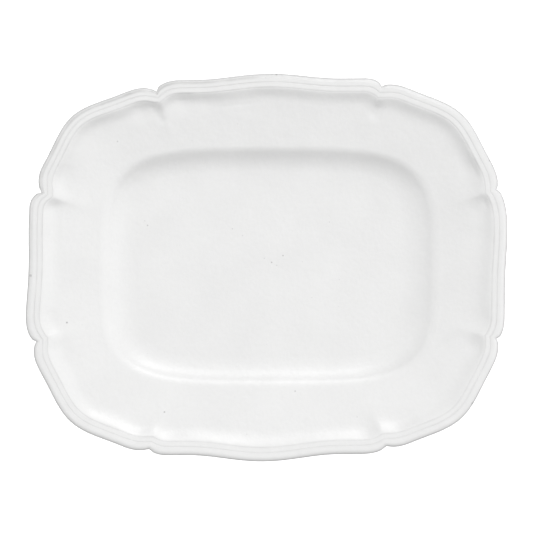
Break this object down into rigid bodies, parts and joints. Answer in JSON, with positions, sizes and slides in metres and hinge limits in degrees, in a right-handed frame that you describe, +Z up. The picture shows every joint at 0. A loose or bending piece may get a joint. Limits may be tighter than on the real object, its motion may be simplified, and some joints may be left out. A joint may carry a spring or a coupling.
{
  "type": "serving platter",
  "caption": "Large oblong serving platter in white-glazed earthenware, with a shallow rectangular well, a sloping border and a scalloped rim with flat bands and a rolled lip.",
  "frame": {"origin": "middle of the outline, in the plane that the foot ring rests on", "axes": "+X along the platter's length, +Y across its width, +Z up out of the well"},
  "size_m": [0.4196, 0.3376, 0.0318],
  "materials": {
    "clay": "fired earthenware under the glaze, matt and cream",
    "bare_clay": "bare fired clay, ground flat and slightly worn on the tread",
    "glaze": "opaque white glaze, glossy, with slight waves and pinholes"
  },
  "bodies": {
    "root": {"clay_body": "clay", "foot_ring": "bare_clay", "glaze_coat": "glaze", "base_glaze": "glaze"}
  },
  "joints": []
}
